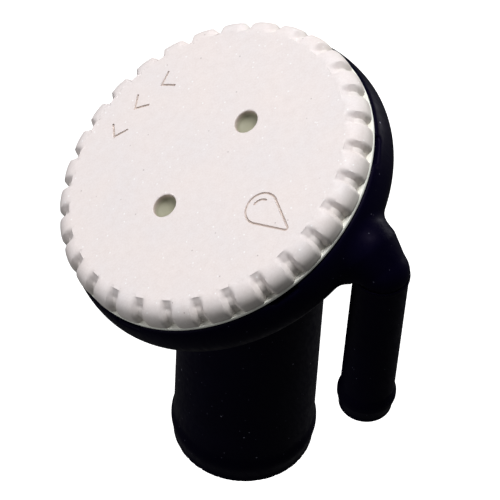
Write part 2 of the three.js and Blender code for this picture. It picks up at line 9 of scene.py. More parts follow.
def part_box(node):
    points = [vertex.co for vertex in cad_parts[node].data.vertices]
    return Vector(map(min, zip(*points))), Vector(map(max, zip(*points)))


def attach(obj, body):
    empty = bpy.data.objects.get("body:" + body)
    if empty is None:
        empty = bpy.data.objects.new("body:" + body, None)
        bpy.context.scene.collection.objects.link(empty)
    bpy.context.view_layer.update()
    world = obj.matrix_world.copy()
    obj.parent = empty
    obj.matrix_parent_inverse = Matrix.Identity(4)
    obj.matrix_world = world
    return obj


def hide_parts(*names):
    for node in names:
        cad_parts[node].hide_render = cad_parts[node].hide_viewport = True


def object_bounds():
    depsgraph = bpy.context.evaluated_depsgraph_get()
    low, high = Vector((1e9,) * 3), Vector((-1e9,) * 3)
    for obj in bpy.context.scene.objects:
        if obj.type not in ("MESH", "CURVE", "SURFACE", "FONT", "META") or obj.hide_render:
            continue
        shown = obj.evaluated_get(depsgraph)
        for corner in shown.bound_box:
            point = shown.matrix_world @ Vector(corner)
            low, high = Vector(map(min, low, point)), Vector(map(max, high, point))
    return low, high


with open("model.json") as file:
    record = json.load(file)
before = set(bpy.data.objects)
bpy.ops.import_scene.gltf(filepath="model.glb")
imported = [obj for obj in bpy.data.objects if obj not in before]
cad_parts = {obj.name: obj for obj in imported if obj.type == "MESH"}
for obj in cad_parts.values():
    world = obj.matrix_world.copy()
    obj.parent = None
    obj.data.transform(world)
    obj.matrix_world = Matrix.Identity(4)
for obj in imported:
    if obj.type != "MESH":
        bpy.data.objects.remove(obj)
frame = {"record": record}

MM = 0.001
CAD_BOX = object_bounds()


def box_mm(node):
    low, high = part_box(node)
    return np.array(low) / MM, np.array(high) / MM


def mount_mm(name):
    """A mount's point in millimetres and the direction that it faces."""
    found = next(m for m in frame["record"]["mounts"] if m["name"] == name)
    return np.array(found["pos_m"]) / MM, np.array(found["axis"])


def outward(degrees):
    angle = math.radians(degrees)
    return np.array([math.cos(angle), math.sin(angle), 0.0])


# Sizes, in millimetres

cap_low, _ = box_mm("fill_cap")
body_low, body_high = box_mm("fill_body")
ring_low, ring_high = box_mm("throat_ring")
seal_low, seal_high = box_mm("cap_seal")
gasket_low, gasket_high = box_mm("throat_gasket")
washer_low, washer_high = box_mm("swivel_washer")
eye_low, eye_high = box_mm("swivel_eye")
swivel_low, swivel_high = box_mm("swivel_screw")

FLAT_RADIUS = 38.7
SHOULDER_HEIGHT = 4.4
CAP_RADIUS = 43.4
LIP_RADIUS = 43.25
LIP_TOP_Z = -6.5
LIP_Z = -7.4
LIP_ROUNDING = 0.15
DISC_BOTTOM_Z = -4.2
SKIRT_INNER_RADIUS = 40.6
FLUTES = 30
FLUTE_START_ANGLE = -1
FLUTE_DEPTH = 1.5
FLUTE_EXTRA_DEPTH = 0.2
FLUTE_FLOOR_HALF = 0.8
FLUTE_WALL_RUN = 1.1
FLUTE_ROUNDING = 1.2
FLUTE_END_DEGREES = 30
FLUTE_END_CURVE = 0.7
LUG_CROWN = 0.28
STEPS_PER_FLUTE = 20
SPANNER_HOLE_RADIUS = 3.15
SPANNER_HOLE_DEPTH = 2.8
SPANNER_HOLE_DISTANCE = 14.6
SPANNER_HOLE_ANGLE = 23.6
SPANNER_HOLE_FLOOR_ROUNDING = 1.6
SPANNER_HOLE_EDGE_ROUNDING = 0.4
CHEVRON_ANGLES = (-50, -67, -84)
CHEVRON_DISTANCE = 30.7
DROP_ANGLE = 115.5
DROP_DISTANCE = 27

PITCH = 4.0
THREAD_TURNS = 2
THREAD_TOP_Z = -8.6
THREAD_BASE_HALF = 0.95
THREAD_TIP_HALF = 0.5
THREAD_HALF_REACH = 5.0
THREAD_SLOPE = 0.35
MALE_THREAD_MIDDLE_Z = -12.6
FEMALE_THREAD_MIDDLE_Z = -13.0
MALE_ROOT_RADIUS = 24.4
MALE_CREST_RADIUS = 26.4
FEMALE_ROOT_RADIUS = 26.9
FEMALE_CREST_RADIUS = 24.9
PLUG_INNER_RADIUS = 21.5
PLUG_BOTTOM_Z = cap_low[2]
SEAL_LAND_RADIUS = 26.6
SEAL_LAND_Z = -7.3
GUARD_INNER_RADIUS = 30.2
GUARD_OUTER_RADIUS = 31.6
GUARD_BOTTOM_Z = -6.9
BOSS_RADIUS = 5.2
BOSS_BOTTOM_Z = -9.0
BOSS_HOLE_RADIUS = 2.0
BOSS_HOLE_TOP_Z = -4.7

RIM_Z = body_high[2]
RIM_RADIUS = 43.0
BOWL_RADIUS = 44.6
BOWL_WIDEST_Z = -13.5
BOWL_EDGE_ROUNDING = 9.4
BOWL_BOTTOM_Z = BOWL_WIDEST_Z - BOWL_EDGE_ROUNDING
BOWL_FLOOR_Z = BOWL_BOTTOM_Z + 3
CAVITY_RADIUS = 41.0
CAVITY_ROUNDING = 5.8
SEAT_INNER_RADIUS = 27.3
SEAT_HEIGHT = 0.6
NOTCHES = 6
NOTCH_WIDTH = 8
NOTCH_DEPTH = 1.2

NECK_START = np.array([0.0, 0.0, -28.0])
NECK_RADIUS = 19.05
NECK_BORE_RADIUS = 16.15
NECK_BARB_HEIGHT = 0.7
NECK_BARB_FROM_END = 6.2
NECK_ROOT = 18.5
BARB_RISE = 3.4
BARB_TOP_BEFORE = 0.9
BARB_TOP_AFTER = 0.4
BARB_FALL_SHARE = 0.65

VENT_ANGLE = 129
VENT_HUB = np.array([0.0, 0.0, -19.5])
BRANCH_RADIUS = 9.2
KNUCKLE_RADIUS = 8.5
KNUCKLE_DISTANCE = 42.9
TAIL_AXIS_DISTANCE = 48.4
TAIL_START = 5.2
TAIL_LENGTH = 51.7
TAIL_RADIUS = 6.95
TAIL_BORE_RADIUS = 5.2
TAIL_BARB_HEIGHT = 0.65
TAIL_BARB_FROM_END = 5.0
TAIL_COLLAR_RADIUS = 7.2
TAIL_COLLAR_LENGTH = 1.2
SPIGOT_RADIUS = 5.6
SPIGOT_LENGTH = 5.0
SPIGOT_BORE_RADIUS = 4.4
VENT_BORE_RADIUS = 5.0
BEND_DISTANCE = 45.0
NIPPLE_RADIUS = 6.6
NIPPLE_START = 32.2

FLANGE_RADIUS = 40.4
FLANGE_THICKNESS = 2.5
THROAT_OUTER_RADIUS = 31.0
THROAT_BOTTOM_Z = ring_low[2]
SCREWS = 4
SCREW_CIRCLE_RADIUS = 36.0
SCREW_START_ANGLE = VENT_ANGLE - 45
SCREW_HEAD_RADIUS = 3.0
SCREW_HEAD_HEIGHT = 2.0
SCREW_SHANK_RADIUS = 1.2
SCREW_LENGTH = 9.0
CONE_COSINE = 0.74
PILLAR_RADIUS = 3.2
SLOT_MIDDLE_RADIUS = 35.9
SLOT_HALF_WIDTH = 2.7
SLOT_HALF_SPAN = 11
SLOT_OFFSET = 26
LUG_X = 18.0
LUG_THICKNESS = 2.6
LUG_WIDTH = 7.0
LUG_HEIGHT = 7.0
EYE_HOLE_RADIUS = 1.6
SCREEN_DISTANCE = 34.2
SCREEN_RADIUS = 4.7
SCREEN_RIM_WIDTH = 0.7
SCREEN_THICKNESS = 0.6
GAUZE_PITCH = 0.9
WIRE_RADIUS = 0.14
WIRE_LIFT = 0.13
GAP = 0.3

neck_end, neck_direction = mount_mm("neck_end")
_, tail_direction = mount_mm("vent_tail_end")
NECK_LENGTH = float((neck_end - NECK_START) @ neck_direction)
vent_out = outward(VENT_ANGLE)
knuckle_centre = VENT_HUB + vent_out * KNUCKLE_DISTANCE
tail_top = VENT_HUB + vent_out * TAIL_AXIS_DISTANCE + tail_direction * TAIL_START


# Making meshes

def new_object(name, points, faces):
    """An object whose points are given in millimetres."""
    mesh = bpy.data.meshes.new(name)
    scaled = np.asarray(points, float) * MM
    mesh.from_pydata(scaled.tolist(), [], [list(map(int, face)) for face in faces])
    mesh.update()
    made = bpy.data.objects.new(name, mesh)
    bpy.context.scene.collection.objects.link(made)
    return made


def finish_piece(piece, body, material, slot, *nodes, sharp_angle=38):
    """Shades a piece smooth up to sharp_angle, paints it and ties it to the frame."""
    for face in piece.data.polygons:
        face.use_smooth = True
    piece.data.set_sharp_from_angle(angle=math.radians(sharp_angle))
    piece.data.materials.clear()
    piece.data.materials.append(material)
    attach(piece, body)
    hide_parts(*nodes)
    return piece


def filleted(corners, steps=5):
    """A closed (radius, z) outline with rounded corners. Each corner is (radius, z, rounding)."""
    points = []
    count = len(corners)
    for i, (r, z, rounding) in enumerate(corners):
        here = np.array([r, z], float)
        if rounding == 0:
            points.append(here)
            continue
        before = np.array(corners[i - 1][:2], float) - here
        after = np.array(corners[(i + 1) % count][:2], float) - here
        before /= np.linalg.norm(before)
        after /= np.linalg.norm(after)
        half_angle = math.acos(np.clip(before @ after, -1, 1)) / 2
        middle = (before + after) / np.linalg.norm(before + after)
        centre = here + middle * rounding / math.sin(half_angle)
        first = here + before * rounding / math.tan(half_angle) - centre
        last = here + after * rounding / math.tan(half_angle) - centre
        turn = math.atan2(first[0] * last[1] - first[1] * last[0], first @ last)
        for step in range(steps + 1):
            angle = turn * step / steps
            cos, sin = math.cos(angle), math.sin(angle)
            points.append(centre + [cos * first[0] - sin * first[1], sin * first[0] + cos * first[1]])
    return points


def skin(rings, closed):
    """Faces over rings of points; a ring of one point is a pole. Returns the points and the faces."""
    points, starts = [], []
    for ring in rings:
        starts.append(len(points))
        points.extend(ring)
    faces = []
    pairs = list(zip(range(len(rings)), range(1, len(rings))))
    if closed:
        pairs.append((len(rings) - 1, 0))
    around = max(len(ring) for ring in rings)
    for a, b in pairs:
        for i in range(around):
            j = (i + 1) % around
            a0, a1 = (starts[a] + i, starts[a] + j) if len(rings[a]) > 1 else (starts[a],) * 2
            b0, b1 = (starts[b] + i, starts[b] + j) if len(rings[b]) > 1 else (starts[b],) * 2
            face = list(dict.fromkeys([a0, b0, b1, a1]))
            if len(face) > 2:
                faces.append(face)
    return np.array(points), faces


def turned(name, outline, segments, start=(0, 0, 0), direction=(0, 0, 1)):
    """A closed outline of (radius, height) turned about a line. The outline runs clockwise."""
    turn = np.array(Vector((0, 0, 1)).rotation_difference(Vector(direction)).to_matrix())
    angles = np.arange(segments) * 2 * math.pi / segments
    rings = []
    on_axis = any(r < 1e-6 for r, z in outline)
    for r, z in outline:
        around = angles if r > 1e-6 else angles[:1]
        ring = np.stack([r * np.cos(around), r * np.sin(around), np.full(len(around), z)], axis=1)
        rings.append(ring @ turn.T + np.asarray(start))
    points, faces = skin(rings, closed=not on_axis)
    return new_object(name, points, faces)


def surface_of(name, field, low, high, cell):
    """An object on the zero surface of field(x, y, z), which is negative inside the solid.

    Each grid cell that the surface crosses gets one point, the middle of its edge crossings, which is
    then moved on to the surface.
    """
    axes = [np.arange(a - 2 * cell, b + 3 * cell, cell) for a, b in zip(low, high)]
    value = field(*np.ix_(*axes))
    shape = np.array(value.shape) - 1
    total = [np.zeros(shape.prod()) for _ in range(3)]
    count = np.zeros(shape.prod())
    loops = []
    for axis in range(3):
        near = np.delete(value, -1, axis)
        far = np.delete(value, 0, axis)
        where = np.nonzero((near < 0) != (far < 0))
        share = near[where] / (near[where] - far[where])
        crossing = [index.astype(float) for index in where]
        crossing[axis] = crossing[axis] + share
        u, v = (axis + 1) % 3, (axis + 2) % 3
        around = []
        for du, dv in ((0, 0), (-1, 0), (-1, -1), (0, -1)):
            place = [index.copy() for index in where]
            place[u] = place[u] + du
            place[v] = place[v] + dv
            flat = np.ravel_multi_index(place, shape)
            count += np.bincount(flat, minlength=len(count))
            for k in range(3):
                total[k] += np.bincount(flat, weights=crossing[k], minlength=len(count))
            around.append(flat)
        loop = np.stack(around, axis=1)
        outwards = near[where] < 0
        loops.append(np.where(outwards[:, None], loop, loop[:, ::-1]))
    used = np.nonzero(count)[0]
    number = np.zeros(len(count), int)
    number[used] = np.arange(len(used))
    lowest = np.array([axis[0] for axis in axes])
    points = np.stack([t[used] / count[used] for t in total], axis=1) * cell + lowest
    reach = 0.05 * cell
    for _ in range(4):
        distance = field(*points.T)
        slope = np.empty_like(points)
        for k in range(3):
            step = np.zeros(3)
            step[k] = reach
            slope[:, k] = (field(*(points + step).T) - field(*(points - step).T)) / (2 * reach)
        size = np.maximum((slope ** 2).sum(axis=1), 0.25)
        points -= np.clip(slope * (distance / size)[:, None], -cell / 2, cell / 2)
    return new_object(name, points, number[np.concatenate(loops)])


def combined(name, first, operation, *others):
    """A new object from a boolean operation on closed meshes. The ones given are removed."""
    for other in others:
        change = first.modifiers.new("change", "BOOLEAN")
        change.operation = operation
        change.solver = "MANIFOLD"
        change.object = other
    bpy.context.view_layer.update()
    evaluated = first.evaluated_get(bpy.context.evaluated_depsgraph_get())
    mesh = bpy.data.meshes.new_from_object(evaluated)
    mesh.name = name
    made = bpy.data.objects.new(name, mesh)
    bpy.context.scene.collection.objects.link(made)
    for used in (first, *others):
        bpy.data.objects.remove(used)
    return made


# Distance fields: negative inside, in millimetres

def from_line(x, y, z, start, direction):
    """How far each point is from a line, and how far along it."""
    x, y, z = x - start[0], y - start[1], z - start[2]
    along = x * direction[0] + y * direction[1] + z * direction[2]
    return np.sqrt(np.maximum(x * x + y * y + z * z - along * along, 0)), along


def bar(r, along, radius, low, high, edge=0.0):
    """A round bar, its end edges rounded."""
    side = r - radius + edge
    end = np.abs(along - (low + high) / 2) - (high - low) / 2 + edge
    outside = np.hypot(np.maximum(side, 0), np.maximum(end, 0))
    return np.minimum(np.maximum(side, end), 0) + outside - edge


def tube(r, along, inner, outer, low, high, edge=0.0):
    """A round tube, its edges rounded."""
    middle = (inner + outer) / 2
    return bar(np.abs(r - middle), along, (outer - inner) / 2, low, high, edge)


def joined(a, b, fillet):
    """Both solids, with a fillet where they meet."""
    near = np.maximum(fillet - np.abs(a - b), 0) / fillet
    return np.minimum(a, b) - near * near * fillet / 4


def without(a, b, rounding=0.3):
    """The first solid with the second cut out of it, its new edges rounded."""
    return -joined(-a, b, rounding)


def ball(x, y, z, centre, radius):
    return np.sqrt((x - centre[0]) ** 2 + (y - centre[1]) ** 2 + (z - centre[2]) ** 2) - radius


def softened(value, places, sizes, softness=0.35):
    """Straight-line interpolation with its corners softened."""
    shifted = [np.interp(value + shift, places, sizes) for shift in (-softness, 0, softness)]
    return sum(shifted) / 3


def thread_height(x, y, z, start_turn):
    """How much of a thread's full height stands at each point, from 0 to 1, fading in at both ends."""
    turn = np.arctan2(y, x) / (2 * math.pi) - start_turn
    turn = turn - np.floor(turn)
    height = 0
    for whole in range(THREAD_TURNS):
        turns = turn + whole
        middle = THREAD_TOP_Z - (THREAD_TURNS - turns) * PITCH
        flank = (THREAD_BASE_HALF - np.abs(z - middle)) / (THREAD_BASE_HALF - THREAD_TIP_HALF)
        fade = np.clip(np.minimum(turns, THREAD_TURNS - turns) * 8, 0, 1)
        height = np.maximum(height, np.clip(flank, 0, 1) * fade)
    return height


# The cap

def flute_share(angle, radius):
    """1 on a flute's floor, 0 on the crown of a lug, at each angle round the cap."""
    pitch = 2 * math.pi / FLUTES
    turned_by = angle - math.radians(FLUTE_START_ANGLE)
    from_middle = np.abs((turned_by + pitch / 2) % pitch - pitch / 2)
    wall = np.clip((from_middle * radius - FLUTE_FLOOR_HALF) / FLUTE_WALL_RUN, 0, 1)
    crown = LUG_CROWN * (1 - 2 * from_middle / pitch) ** 2
    return crown + (1 - crown) * (1 - wall) ** FLUTE_ROUNDING


def cap_stations():
    """The cap's outer profile: (radius, z, inset radius, inset z), from the middle of its face down."""
    stations = [(r, 0.0, r, 0.0) for r in (0.0, 36.0, 38.0, FLAT_RADIUS)]
    across = CAP_RADIUS - FLAT_RADIUS
    for degrees in (88, 85, 82, 79, 76, 72, 67, 61, 53, 45, 37, 29, 21, 14, 7, 0):
        angle = math.radians(degrees)
        cos, sin = math.cos(angle), math.sin(angle)
        depth = FLUTE_DEPTH + FLUTE_EXTRA_DEPTH * sin * sin
        depth *= min(1.0, (90 - degrees) / FLUTE_END_DEGREES) ** FLUTE_END_CURVE
        r = FLAT_RADIUS + across * cos
        z = SHOULDER_HEIGHT * (sin - 1)
        stations.append((r, z, r - depth * cos, z - depth * sin))
    floor = CAP_RADIUS - FLUTE_DEPTH
    for z, bulge in ((-5.0, 0.0), (-5.6, 0.0), (-6.0, 0.03), (-6.25, 0.1), (-6.42, 0.22)):
        stations.append((CAP_RADIUS - bulge, z, floor, z))
    ledge = LIP_RADIUS - LIP_ROUNDING
    for share in (0.0, 0.12, 0.5, 0.9):
        inner = floor + (ledge - floor) * share
        stations.append((ledge - 0.03 * (1 - share), LIP_TOP_Z - 0.02 * share, inner, LIP_TOP_Z))
    for inset, drop in ((LIP_ROUNDING, 0.03), (0.04, 0.12), (0.0, 0.3)):
        r, z = LIP_RADIUS - inset, LIP_TOP_Z - drop
        stations.append((r, z, r, z))
    return stations


def cap_disc():
    """The cap's fluted disc and skirt, without what stands under it."""
    spread = 0.55  # points stand closer together in the flutes than on the lugs
    even = np.arange(STEPS_PER_FLUTE) / STEPS_PER_FLUTE
    uneven = even + spread * np.sin(2 * math.pi * even) / (2 * math.pi)
    pitch = 2 * math.pi / FLUTES
    start = math.radians(FLUTE_START_ANGLE) - pitch / 2
    angles = (start + pitch * (np.arange(FLUTES)[:, None] + uneven[None, :])).ravel()
    rings = []
    for r, z, inset_r, inset_z in cap_stations():
        if r == 0:
            rings.append(np.array([[0.0, 0.0, z]]))
            continue
        share = flute_share(angles, r)
        radius = r + (inset_r - r) * share
        height = z + (inset_z - z) * share
        rings.append(np.stack([radius * np.cos(angles), radius * np.sin(angles), height], axis=1))
    under = filleted([
        (LIP_RADIUS, LIP_TOP_Z - 0.4, 0),
        (LIP_RADIUS, LIP_Z, 0.25),
        (SKIRT_INNER_RADIUS, LIP_Z, 0.3),
        (SKIRT_INNER_RADIUS, DISC_BOTTOM_Z, 1.0),
        (0, DISC_BOTTOM_Z, 0),
    ], steps=4)
    for r, z in under:
        around = angles if r > 0 else angles[:1]
        rings.append(np.stack([r * np.cos(around), r * np.sin(around), np.full(len(around), z)], axis=1))
    points, faces = skin(rings, closed=False)
    return new_object("cap_disc", points, faces)


def under_cap(x, y, z):
    """What stands under the cap's disc: the threaded plug, the seal's land, its guard and the boss."""
    r = np.hypot(x, y) + 0 * z
    root_in = DISC_BOTTOM_Z + 1
    plug = tube(r, z, PLUG_INNER_RADIUS, MALE_ROOT_RADIUS, PLUG_BOTTOM_Z, root_in, 0.6)
    ridge = MALE_CREST_RADIUS - MALE_ROOT_RADIUS
    threaded = r - MALE_ROOT_RADIUS - ridge * thread_height(x, y, z, 0)
    above_or_below = np.abs(z - MALE_THREAD_MIDDLE_Z) - THREAD_HALF_REACH
    thread = np.maximum(threaded * THREAD_SLOPE, PLUG_INNER_RADIUS + 1 - r)
    thread = np.maximum(thread, above_or_below)
    land = tube(r, z, PLUG_INNER_RADIUS, SEAL_LAND_RADIUS, SEAL_LAND_Z, root_in, 0.3)
    guard = tube(r, z, GUARD_INNER_RADIUS, GUARD_OUTER_RADIUS, GUARD_BOTTOM_Z, root_in, 0.4)
    boss = bar(r, z, BOSS_RADIUS, BOSS_BOTTOM_Z, root_in, 0.4)
    hole = bar(r, z, BOSS_HOLE_RADIUS, BOSS_BOTTOM_Z - 2, BOSS_HOLE_TOP_Z)
    solid = np.minimum(np.minimum(joined(plug, thread, 0.3), joined(land, plug, 0.6)), guard)
    return np.minimum(solid, without(boss, hole))


def stroke(name, path, closed, width=0.62, depth=0.4):
    """A groove's cutter along a path of (x, y) points: narrower at its bottom, round at its ends."""
    path = np.array(path, float)
    widths = np.ones(len(path))
    if not closed:
        caps = []
        for tip, inner in ((path[0], path[1]), (path[-1], path[-2])):
            away = (tip - inner) / np.linalg.norm(tip - inner)
            angles = np.radians([75, 50, 25])
            caps.append((tip + np.sin(angles)[:, None] * away * width / 2, np.cos(angles)))
        path = np.concatenate([caps[0][0], path, caps[1][0][::-1]])
        widths = np.concatenate([caps[0][1], widths, caps[1][1][::-1]])
    if closed:
        before, after = np.roll(path, 1, axis=0), np.roll(path, -1, axis=0)
    else:
        before = np.vstack([2 * path[0] - path[1], path[:-1]])
        after = np.vstack([path[1:], 2 * path[-1] - path[-2]])
    into = path - before
    out = after - path
    into /= np.linalg.norm(into, axis=1)[:, None]
    out /= np.linalg.norm(out, axis=1)[:, None]
    along = into + out
    along /= np.linalg.norm(along, axis=1)[:, None]
    stretch = 1 / np.maximum((along * into).sum(axis=1), 0.5)
    side = np.stack([-along[:, 1], along[:, 0]], axis=1) * (stretch * widths)[:, None] * width / 2
    section = ((1.25, 0.3), (1.0, -0.02), (0.86, -0.5 * depth), (0.55, -depth))
    section = list(section) + [(-s, z) for s, z in reversed(section)]
    rings = []
    for centre, across in zip(path, side):
        rings.append(np.array([[*(centre + across * s), z] for s, z in section]))
    points, faces = skin(rings, closed)
    if not closed:
        last = (len(rings) - 1) * len(section)
        faces.append(list(range(len(section))))
        faces.append([last + i for i in reversed(range(len(section)))])
    return new_object(name, points, faces)


def placed(path, centre_angle, distance):
    """Moves a mark's outline, drawn with +y outward, to its place on the cap's face."""
    angle = math.radians(centre_angle - 90)
    cos, sin = math.cos(angle), math.sin(angle)
    centre = outward(centre_angle)[:2] * distance
    return [(centre[0] + cos * x - sin * y, centre[1] + sin * x + cos * y) for x, y in path]


def drop_outline(radius, height, tip_radius):
    """A drop: a circle drawn up to a blunt point by two straight lines."""
    low = -height / 2 + radius
    high = height / 2 - tip_radius
    lean = math.degrees(math.acos((radius - tip_radius) / (high - low)))
    round_bottom = arc_path((0, low), radius, 90 + lean, 450 - lean, steps=32)
    return round_bottom + arc_path((0, high), tip_radius, 90 - lean, 90 + lean, steps=6)


def arc_path(centre, radius, from_degrees, to_degrees, steps=14):
    path = []
    for i in range(steps + 1):
        angle = math.radians(from_degrees + (to_degrees - from_degrees) * i / steps)
        path.append((centre[0] + radius * math.cos(angle), centre[1] + radius * math.sin(angle)))
    return path


def cap_marks():
    """Cutters for the face's plain marks: three chevrons the way the cap unscrews, and a drop."""
    cutters = []
    chevron = [(1.4, 2.5), (-1.6, 0), (1.4, -2.5)]
    for i, angle in enumerate(CHEVRON_ANGLES):
        outline = placed(chevron, angle, CHEVRON_DISTANCE)
        cutters.append(stroke(f"chevron_{i}", outline, closed=False))
    drop = placed(drop_outline(4.3, 15.0, 0.5), DROP_ANGLE, DROP_DISTANCE)
    cutters.append(stroke("drop", drop, closed=True))
    glint = placed(arc_path((0, -3.2), 2.5, 195, 275), DROP_ANGLE, DROP_DISTANCE)
    cutters.append(stroke("glint", glint, closed=False))
    return cutters


def spanner_hole(i):
    centre = outward(SPANNER_HOLE_ANGLE + 180 * i) * SPANNER_HOLE_DISTANCE
    outline = [(0, -SPANNER_HOLE_DEPTH)]
    for degrees in (10, 25, 40, 55, 70, 90):
        angle = math.radians(degrees)
        outline.append((
            SPANNER_HOLE_RADIUS * math.sin(angle),
            -SPANNER_HOLE_DEPTH + SPANNER_HOLE_FLOOR_ROUNDING * (1 - math.cos(angle)),
        ))
    for degrees in (0, 22, 45, 68, 85):
        angle = math.radians(degrees)
        edge = SPANNER_HOLE_EDGE_ROUNDING
        outline.append((
            SPANNER_HOLE_RADIUS + edge - edge * math.cos(angle),
            -edge + edge * math.sin(angle),
        ))
    outline += [(SPANNER_HOLE_RADIUS + edge + 0.05, 0.5), (0, 0.5)]
    return turned(f"spanner_hole_{i}", outline[::-1], 48, start=centre)


def make_cap(material):
    low = (-GUARD_OUTER_RADIUS, -GUARD_OUTER_RADIUS, PLUG_BOTTOM_Z)
    high = (GUARD_OUTER_RADIUS, GUARD_OUTER_RADIUS, DISC_BOTTOM_Z + 1)
    plug = surface_of("plug", under_cap, low, high, 0.45)
    face = combined("cap_face", cap_disc(), "DIFFERENCE", spanner_hole(0), spanner_hole(1), *cap_marks())
    cap = combined("fill_cap_moulding", face, "UNION", plug)
    finish_piece(cap, "cap", material, "white_cap", "fill_cap", sharp_angle=42)
    weighted = cap.modifiers.new("even_normals", "WEIGHTED_NORMAL")
    weighted.keep_sharp = True
    return cap


# The body

def bowl_field(r, z):
    upper = RIM_RADIUS + (BOWL_RADIUS - RIM_RADIUS) * np.sqrt(
        np.clip(1 - ((z - BOWL_WIDEST_Z) / (RIM_Z - BOWL_WIDEST_Z)) ** 2, 0, 1)
    )
    side = r - upper
    corner_r = r - (BOWL_RADIUS - BOWL_EDGE_ROUNDING)
    corner_z = BOWL_WIDEST_Z - z
    corner = np.hypot(np.maximum(corner_r, 0), corner_z) - BOWL_EDGE_ROUNDING
    return np.where(z > BOWL_WIDEST_Z, side, corner)


def neck_radius(along):
    crest = NECK_LENGTH - NECK_BARB_FROM_END
    top = NECK_RADIUS + NECK_BARB_HEIGHT
    foot = crest + BARB_FALL_SHARE * NECK_BARB_FROM_END
    places = (crest - BARB_RISE, crest - BARB_TOP_BEFORE, crest + BARB_TOP_AFTER, foot)
    return softened(along, places, (NECK_RADIUS, top, top, NECK_RADIUS))


def screw_places():
    for i in range(SCREWS):
        yield outward(SCREW_START_ANGLE + 360 * i / SCREWS) * SCREW_CIRCLE_RADIUS


def knuckle_field(x, y, z):
    """A ball on the branch drawn out to the tail's mouth."""
    reach = tail_top - knuckle_centre
    length = np.linalg.norm(reach)
    _, along = from_line(x, y, z, knuckle_centre, reach / length)
    share = np.clip(along / length, 0, 1)
    centre = [knuckle_centre[k] + reach[k] * share for k in range(3)]
    mouth_radius = TAIL_COLLAR_RADIUS - 0.2
    swept = ball(x, y, z, centre, KNUCKLE_RADIUS + (mouth_radius - KNUCKLE_RADIUS) * share)
    r, along = from_line(x, y, z, tail_top, tail_direction)
    return without(swept, -along, 0.4)


def lug_field(x, y, z):
    """The moulded eye for the cap's tether, standing on the bowl's floor."""
    top = BOWL_FLOOR_Z + LUG_HEIGHT - LUG_WIDTH / 2
    middle = np.hypot(y, np.maximum(z - top, 0)) - LUG_WIDTH / 2
    hole = EYE_HOLE_RADIUS - np.hypot(y, z - top)
    outline = np.maximum(np.maximum(middle, hole), BOWL_FLOOR_Z - 1 - z)
    return np.maximum(outline, np.abs(x - LUG_X) - LUG_THICKNESS / 2)


def body_field(x, y, z):
    r = np.hypot(x, y) + 0 * z
    neck_r, neck_along = from_line(x, y, z, NECK_START, neck_direction)
    vent_r, vent_along = from_line(x, y, z, VENT_HUB, vent_out)
    tail_r, tail_along = from_line(x, y, z, tail_top, tail_direction)

    bowl = bowl_field(r, z)
    bowl = without(bowl, bar(r, z, SEAT_INNER_RADIUS, BOWL_BOTTOM_Z - 2, BOWL_BOTTOM_Z + SEAT_HEIGHT, 0.3))
    neck = bar(neck_r, neck_along, neck_radius(neck_along), -NECK_ROOT, NECK_LENGTH, 0.6)
    neck = np.maximum(neck, z - BOWL_FLOOR_Z)
    branch_start = NECK_RADIUS + BRANCH_RADIUS
    branch = bar(vent_r, vent_along, BRANCH_RADIUS, branch_start - 6, KNUCKLE_DISTANCE + 2, 5)
    solid = joined(bowl, neck, 3.0)
    solid = joined(solid, branch, 3.0)
    solid = -joined(-solid, RIM_Z - z, 0.5)
    cavity = bar(r, z, CAVITY_RADIUS, BOWL_FLOOR_Z, RIM_Z + 20, CAVITY_ROUNDING)
    solid = without(solid, cavity, 0.5)
    solid = joined(solid, knuckle_field(x, y, z), 2.2)
    solid = joined(solid, bar(vent_r, vent_along, NIPPLE_RADIUS, NIPPLE_START, KNUCKLE_DISTANCE, 0.4), 0.8)
    solid = joined(solid, lug_field(x, y, z), 0.8)
    for centre in screw_places():
        pillar_r = np.hypot(x - centre[0], y - centre[1]) + 0 * z
        top = RIM_Z - FLANGE_THICKNESS - GAP
        solid = joined(solid, bar(pillar_r, z, PILLAR_RADIUS, BOWL_FLOOR_Z - 1, top, 0.3), 1.2)
        solid = without(solid, bar(pillar_r, z, SCREW_SHANK_RADIUS + GAP, RIM_Z - 10, 0))

    neck_bore = bar(neck_r, neck_along, NECK_BORE_RADIUS, -NECK_ROOT - 2, NECK_LENGTH + 2)
    neck_bore = np.maximum(neck_bore, z - BOWL_FLOOR_Z - 0.3)
    solid = without(solid, neck_bore, 0.8)
    solid = without(solid, bar(tail_r, tail_along, TAIL_COLLAR_RADIUS + GAP, 0, TAIL_LENGTH), 0.2)
    solid = joined(solid, bar(tail_r, tail_along, SPIGOT_RADIUS, -2, SPIGOT_LENGTH, 0.3), 0.2)
    solid = without(solid, bar(vent_r, vent_along, VENT_BORE_RADIUS, NIPPLE_START - 1, BEND_DISTANCE))
    solid = without(solid, ball(x, y, z, VENT_HUB + vent_out * BEND_DISTANCE, VENT_BORE_RADIUS))
    solid = without(solid, bar(tail_r, tail_along, SPIGOT_BORE_RADIUS, -3, SPIGOT_LENGTH + 1))

    step = 2 * math.pi / NOTCHES
    angle = np.arctan2(y, x) - math.radians(VENT_ANGLE)
    folded = angle % step - step / 2
    notch = np.maximum(np.abs(r * np.sin(folded)) - NOTCH_WIDTH / 2, RIM_Z - NOTCH_DEPTH - z)
    notch = np.maximum(notch, CAVITY_RADIUS - 3 - r)
    return without(solid, notch, 0.4)


def make_body(material):
    body = surface_of("fill_body_moulding", body_field, body_low, body_high, 0.7)
    return finish_piece(body, "fill", material, "black_body", "fill_body", sharp_angle=50)


